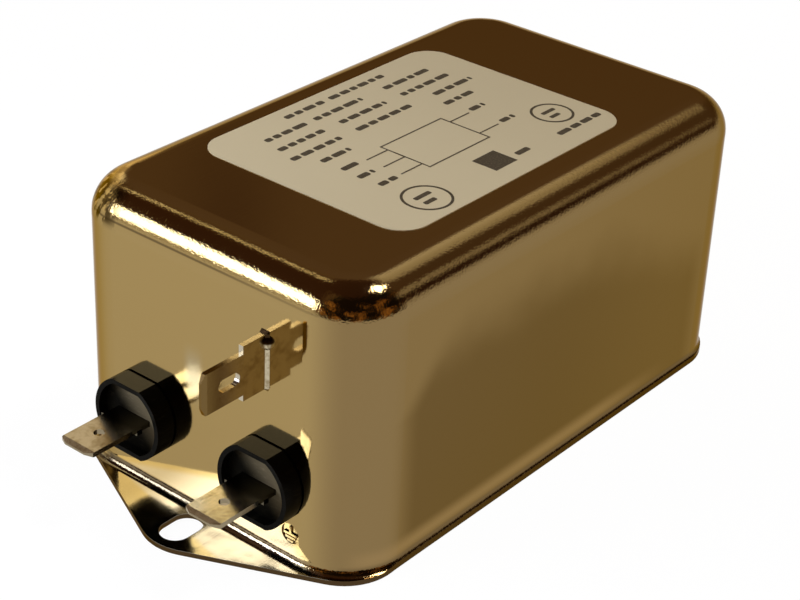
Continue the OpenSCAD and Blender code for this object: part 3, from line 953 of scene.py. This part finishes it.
@dataclass
class Label:
    """The film on the can's top and its print: plain bars, a block sketch and rings.

    Lengths are in millimetres; a bar's rounding is a share of its height, and a ring's marks are shares of
    its radius.
    """

    ink_t: float = 0.015
    bar_h: float = 1.05
    bar_round: float = 0.3
    bar_lengths: Point = (1.2, 3.0)
    bar_gap: float = 0.45
    least_bar: float = 0.9
    least_rest: float = 0.5
    row_pitch: float = 3.42
    first_row: float = 17.5
    line_w: float = 0.28
    ring_w: float = 0.42
    ring_steps: int = 48
    corner_steps: int = 3
    ring_marks: tuple[tuple[float, float, float], ...] = ((-0.45, 0.45, 0.22), (-0.45, 0.2, -0.25))
    ring_mark_h: float = 0.22
    rows: tuple[tuple[Point, ...], ...] = (
        ((-11.9, -3.4), (-2.0, 10.5)),
        ((-19.8, -10.2), (-9.2, 1.5), (6.8, 17.3)),
        ((-20.7, -11.0), (-7.3, 3.1), (6.9, 18.1)),
        ((-21.7, -11.1), (-7.5, 4.9), (10.6, 19.7)),
        ((-19.1, -13.0), (9.0, 16.6)),
    )
    small_marks: tuple[tuple[float, float, float], ...] = (
        (-19.0, -15.8, 0.0),
        (-19.3, -16.0, -3.3),
        (-19.0, -15.3, -6.9),
        (10.0, 13.3, -0.3),
        (10.0, 13.2, -6.1),
        (12.5, 23.0, -15.0),
        (2.6, 5.6, -14.6),
    )
    box: tuple[Point, Point] = ((-9.6, -8.4), (4.6, 1.1))
    left_leads: tuple[float, ...] = (-0.4, -3.6, -6.85)
    right_leads: tuple[float, ...] = (-0.8, -6.4)
    lead_ends: Point = (-14.2, 9.1)
    rings: tuple[tuple[Point, float], ...] = (((-17.3, -14.1), 3.8), ((18.0, -9.8), 3.4))
    block: tuple[Point, ...] = ((-3.8, -15.9), (1.2, -15.9), (1.2, -11.4), (-3.8, -11.4))

    def build(self, frame: Mapping[str, object]) -> None:
        """Dresses the film and prints it.
        """
        dress(frame, "label", LabelFilm())
        strokes = self._bars(random.Random(7)) + self._sketch()
        self._print("label_print", strokes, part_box("label")[1][2] / MM, Ink())

    def _bar(self, x0: float, x1: float, y: float, h: float) -> Stroke:
        """Draws a bar with rounded ends.

        Args:
            x0: where it begins.
            x1: where it ends.
            y: its middle line.
            h: its height.

        Returns:
            The bar.
        """
        r = h * self.bar_round
        up = h / 2 - r
        corners = [(x1 - r, y + up), (x0 + r, y + up), (x0 + r, y - up), (x1 - r, y - up)]
        made = []
        for quarter, (cx, cy) in enumerate(corners):
            for step in range(self.corner_steps + 1):
                a = (quarter + step / self.corner_steps) * math.pi / 2
                made.append((cx + r * math.cos(a), cy + r * math.sin(a)))
        return Stroke(made)

    def _bars(self, draw: random.Random) -> list[Stroke]:
        """Draws rows of short bars in the place of words.

        Args:
            draw: where the random lengths come from.

        Returns:
            The bars.
        """
        rows = [
            (start, stop, self.first_row - number * self.row_pitch)
            for number, row in enumerate(self.rows)
            for start, stop in row
        ]
        return [bar for spot in (*rows, *self.small_marks) for bar in self._word(draw, *spot)]

    def _word(self, draw: random.Random, start: float, stop: float, y: float) -> list[Stroke]:
        """Fills a stretch of a row with short bars.

        Args:
            draw: where the random lengths come from.
            start: where the stretch begins.
            stop: where it ends.
            y: the row's middle line.

        Returns:
            The bars.
        """
        made = []
        while start < stop - self.least_rest:
            reach = min(stop, start + draw.uniform(*self.bar_lengths))
            if stop - reach < self.least_bar:
                reach = stop
            made.append(self._bar(start, reach, y, self.bar_h))
            start = reach + self.bar_gap
        return made

    def _sketch(self) -> list[Stroke]:
        """Draws the block sketch with its leads, the rings and the solid block.

        Returns:
            What is drawn.
        """
        (x0, y0), (x1, y1) = self.box
        w = self.line_w
        made = [
            Stroke(
                [(x0, y0), (x1, y0), (x1, y1), (x0, y1)],
                [(x0 + w, y0 + w), (x1 - w, y0 + w), (x1 - w, y1 - w), (x0 + w, y1 - w)],
            )
        ]
        made += [self._bar(self.lead_ends[0], x0, y, w) for y in self.left_leads]
        made += [self._bar(x1, self.lead_ends[1], y, w) for y in self.right_leads]
        for (cx, cy), r in self.rings:
            made.append(Stroke(self._circle(cx, cy, r), self._circle(cx, cy, r - self.ring_w)))
            made += [
                self._bar(cx + r * start, cx + r * stop, cy + r * up, r * self.ring_mark_h)
                for start, stop, up in self.ring_marks
            ]
        made.append(Stroke(list(self.block)))
        return made

    def _circle(self, cx: float, cy: float, r: float) -> list[Point]:
        """Points round a circle."""
        turns = [math.tau * i / self.ring_steps for i in range(self.ring_steps)]
        return [(cx + r * math.cos(a), cy + r * math.sin(a)) for a in turns]

    def _print(self, name: str, strokes: Sequence[Stroke], face_z: float, ink: Finish) -> None:
        """Raises the strokes a hair above the film.

        Args:
            name: the piece's name.
            strokes: what is printed.
            face_z: height of the film's face, in millimetres.
            ink: its finish.
        """
        low, high = face_z, face_z + self.ink_t
        points: list[tuple[float, float, float]] = []
        faces: list[tuple[int, ...]] = []
        for stroke in strokes:
            count = len(stroke.outline)
            first = len(points)
            if stroke.hole is None:
                points += [(x, y, z) for z in (low, high) for x, y in stroke.outline]
                faces.append(tuple(range(first + count, first + 2 * count)))
                faces.append(tuple(reversed(range(first, first + count))))
                faces += [
                    (first + i, first + (i + 1) % count, first + count + (i + 1) % count, first + count + i)
                    for i in range(count)
                ]
                continue
            rings = [(stroke.outline, low), (stroke.outline, high), (stroke.hole, high), (stroke.hole, low)]
            for ring, z in rings:
                points += [(x, y, z) for x, y in ring]
            for k in range(4):
                a, b = first + k * count, first + (k + 1) % 4 * count
                faces += [(a + i, a + (i + 1) % count, b + (i + 1) % count, b + i) for i in range(count)]
        mesh = bpy.data.meshes.new(name)
        mesh.from_pydata([Vector(p) * MM for p in points], [], faces)
        mesh.materials.append(ink.build())
        piece = bpy.data.objects.new(name, mesh)
        bpy.context.scene.collection.objects.link(piece)
        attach(piece, "root")
        LOG.info("%s: %d strokes", name, len(strokes))


@dataclass
class Filling:
    """What is potted inside the can."""

    coats: tuple[tuple[Finish, tuple[str, ...]], ...] = (
        (InnerCoat("Liner", (0.60, 0.57, 0.45), 0.5), ("liner",)),
        (InnerCoat("Resin", (0.035, 0.033, 0.030), 0.5), ("resin",)),
        (InnerCoat("Ferrite", (0.05, 0.10, 0.06), 0.35), ("choke_core",)),
        (InnerCoat("Card", (0.62, 0.58, 0.46), 0.7), ("choke_divider",)),
        (InnerCoat("BoxCapacitor", (0.45, 0.42, 0.30), 0.45), ("x_capacitor_line", "x_capacitor_load")),
        (InnerCoat("DiscCapacitor", (0.03, 0.12, 0.30), 0.3), ("y_capacitor_1", "y_capacitor_2")),
        (InnerCoat("Resistor", (0.30, 0.38, 0.42), 0.3), ("bleed_resistor",)),
        (InnerCoat("BrownWire", (0.10, 0.04, 0.02)), ("line_lead_1", "load_lead_1")),
        (InnerCoat("BlueWire", (0.02, 0.08, 0.25)), ("line_lead_2", "load_lead_2")),
        (InnerCoat("GreenWire", (0.10, 0.25, 0.05)), ("earth_lead",)),
        (InnerCoat("Copper", (0.62, 0.22, 0.08), 0.25, 1.0), ("choke_winding_1", "choke_winding_2")),
    )

    def build(self, frame: Mapping[str, object]) -> None:
        """Dresses the pieces inside.
        """
        for coat, nodes in self.coats:
            for node in nodes:
                dress(frame, node, coat)


# ---------------------------------------------------------------- studio


@dataclass
class Softbox:
    """A rectangular lamp that hangs away from a point on the part's axis.

    Lengths are in metres and angles in degrees.
    """

    name: str
    azimuth: float
    elevation: float
    distance: float
    aim_z: float
    width: float
    height: float
    radiance: float
    tint: Colour = (1.0, 1.0, 1.0)

    def build(self) -> None:
        """Hangs the lamp so that it faces the part's axis."""
        data = bpy.data.lights.new(self.name, "AREA")
        data.shape = "RECTANGLE"
        data.size = self.width
        data.size_y = self.height
        data.energy = self.radiance * math.pi * self.width * self.height
        data.color = self.tint
        lamp = bpy.data.objects.new(self.name, data)
        bpy.context.scene.collection.objects.link(lamp)
        a, e = math.radians(self.azimuth), math.radians(self.elevation)
        away = Vector((math.cos(a) * math.cos(e), math.sin(a) * math.cos(e), math.sin(e)))
        lamp.location = Vector((0.0, 0.0, self.aim_z)) + away * self.distance
        lamp.rotation_euler = away.to_track_quat("Z", "Y").to_euler()
        lamp.visible_camera = False
        LOG.info("%s lamp", self.name)


@dataclass
class Studio:
    """Floor, surroundings, lamps and camera.

    The room's zones limit the three parts of a direction whose length is one. The camera's place is in metres
    and its turn in degrees.
    """

    floor_size: float = 12.0
    floor_drop: float = 0.00005
    floor_tone: Colour = (0.80, 0.80, 0.80)
    white: Colour = (1.0, 1.0, 1.0)
    glow: float = 1.04
    glow_share: float = 0.93
    pale: Colour = (0.95, 0.93, 0.90)
    dim: Colour = (0.185, 0.118, 0.068)
    deep: Colour = (0.070, 0.032, 0.018)
    tan: Colour = (0.88, 0.82, 0.70)
    dark: Colour = (0.022, 0.014, 0.008)
    amber: Colour = (0.75, 0.36, 0.11)
    bright: Colour = (1.6, 1.5, 1.25)

    horizon: Limit = (0.06, 0.22)
    stretches: tuple[Zone, ...] = (
        Zone(deep, x=(0.10, -0.10), y=(0.1, 0.3), z=(0.42, 0.52)),
        Zone(tan, x=(0.45, 0.60), y=(-0.15, 0.24, 0.06), z=(0.56, 0.66)),
        Zone(tan, x=(0.45, 0.60), y=(-0.42, -0.52), z=(0.38, 0.54, 0.03), share=0.75),
        Zone(deep, x=(0.45, 0.60), y=(-0.45, -0.60), z=(0.20, 0.37, 0.03)),
    )
    strip: Zone = Zone(bright, x=(-0.03, 0.03, 0.012), y=(0.0, 0.1), z=(0.70, 0.94, 0.03))
    strip_lean: float = 0.12
    behind: Zone = Zone(dark, x=(0.66, 0.50), y=(-0.22, -0.36), z=(0.03, 0.985, 0.01))
    behind_lean: float = 0.5
    blot_scale: float = 4.0
    amber_blots: Limit = (0.5, 0.62)
    amber_below: Limit = (0.75, 0.6)
    beside: Zone = Zone(bright, y=(0.70, 0.80), z=(0.0, 0.56, 0.05))
    bright_blots: Limit = (0.5, 0.62, 0.25, 1.0)
    overhead: tuple[Zone, ...] = (
        Zone(deep, z=(0.87, 0.91)),
        Zone(deep, x=(0.62, 0.66, 0.02), y=(0.598, 0.638, 0.02), z=(0.42, 0.49, 0.02), share=0.5),
    )

    lens: float = 91.02
    sensor: float = 36.0
    nearest: float = 0.01
    camera_at: tuple[float, float, float] = (-0.214995, -0.167345, 0.172008)
    camera_turn: tuple[float, float, float] = (60.21557, -2.32629, -50.18308)
    lamps: tuple[Softbox, ...] = (
        Softbox(
            "window",
            azimuth=150.2,
            elevation=0.0,
            distance=0.2383,
            aim_z=0.1225,
            width=0.1475,
            height=0.083,
            radiance=9.0,
            tint=(0.85, 0.95, 1.2),
        ),
        Softbox(
            "card",
            azimuth=116.6,
            elevation=37.0,
            distance=0.0728,
            aim_z=0.002,
            width=0.040,
            height=0.026,
            radiance=0.5,
            tint=(1.0, 0.82, 0.5),
        ),
        Softbox(
            "ceiling",
            azimuth=312.0,
            elevation=64.0,
            distance=1.3,
            aim_z=0.02,
            width=0.3,
            height=0.3,
            radiance=23.0,
        ),
    )

    def build(self) -> None:
        """Makes everything round the part."""
        self._floor()
        self._world()
        for lamp in self.lamps:
            lamp.build()
        self._camera()
        bpy.context.scene.view_settings.view_transform = "Standard"

    def _floor(self) -> None:
        """A wide pale floor that keeps the part's shadow."""
        half = self.floor_size / 2
        mesh = bpy.data.meshes.new("floor")
        corners = [(x * half, y * half, -self.floor_drop) for x, y in ((-1, -1), (1, -1), (1, 1), (-1, 1))]
        mesh.from_pydata(corners, [], [(0, 1, 2, 3)])
        material = bpy.data.materials.new("Floor")
        tree = Tree(material)
        seen = self._background_rays(tree)
        matte = tree.node("ShaderNodeBsdfDiffuse", None, {"Color": rgba(self.floor_tone)})
        glow = tree.node("ShaderNodeEmission", None, {"Color": rgba(self.white), "Strength": self.glow})
        tree.end(tree.node("ShaderNodeMixShader", None, {0: seen * self.glow_share, 1: matte, 2: glow}))
        mesh.materials.append(material)
        floor = bpy.data.objects.new("floor", mesh)
        bpy.context.scene.collection.objects.link(floor)

    @staticmethod
    def _background_rays(tree: Tree) -> Value:
        """Tells the rays that show the background: straight, mirrored or through glass.

        Args:
            tree: the tree that the nodes are added to.

        Returns:
            1 for those rays and 0 for the others.
        """
        kinds = ("Is Camera Ray", "Is Glossy Ray", "Is Transmission Ray")
        straight, mirrored, through = (tree.node("ShaderNodeLightPath", output=kind) for kind in kinds)
        return straight.most(mirrored).most(through)

    def _world(self) -> None:
        """A room that is pale low down and dim above, with lighter and darker stretches."""
        world = bpy.data.worlds.new("room")
        bpy.context.scene.world = world
        tree = Tree(world)
        x, y, z = place = tree.parts(tree.node("ShaderNodeTexCoord", output="Generated"))
        blots = tree.noise(place, self.blot_scale, rough=0.6)
        tone = tree.mix(z.within(self.horizon), self.pale, self.dim)
        for zone in self.stretches:
            tone = zone.paint(tree, tone, place)
        tone = self.strip.paint(tree, tone, (x - y * self.strip_lean, y, z))
        amber = blots.within(self.amber_blots) * z.within(self.amber_below)
        behind = self.behind.mask((x, y + x * self.behind_lean, z))
        tone = tree.mix(behind, tone, tree.mix(amber, self.behind.tone, self.amber))
        beside = self.beside.mask(place) * blots.within(self.bright_blots)
        tone = tree.mix(beside, tone, self.beside.tone)
        for zone in self.overhead:
            tone = zone.paint(tree, tone, place)
        tree.end(tree.node("ShaderNodeBackground", None, {"Color": tone, "Strength": 1.0}))

    def _camera(self) -> None:
        """The camera."""
        data = bpy.data.cameras.new("camera")
        data.lens = self.lens
        data.sensor_width = self.sensor
        data.clip_start = self.nearest
        camera = bpy.data.objects.new("camera", data)
        bpy.context.scene.collection.objects.link(camera)
        camera.location = self.camera_at
        camera.rotation_euler = [math.radians(turn) for turn in self.camera_turn]
        bpy.context.scene.camera = camera


def main() -> None:
    """Builds the part's looks and the studio."""
    logging.basicConfig(level=logging.INFO, format="%(message)s")
    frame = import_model()
    Studio().build()
    Can().build(frame)
    for end in End:
        for number in (1, 2):
            Terminal(end, number).build(frame)
    GroundTab().build(frame)
    Label().build(frame)
    Filling().build(frame)


if __name__ == "__main__":
    main()
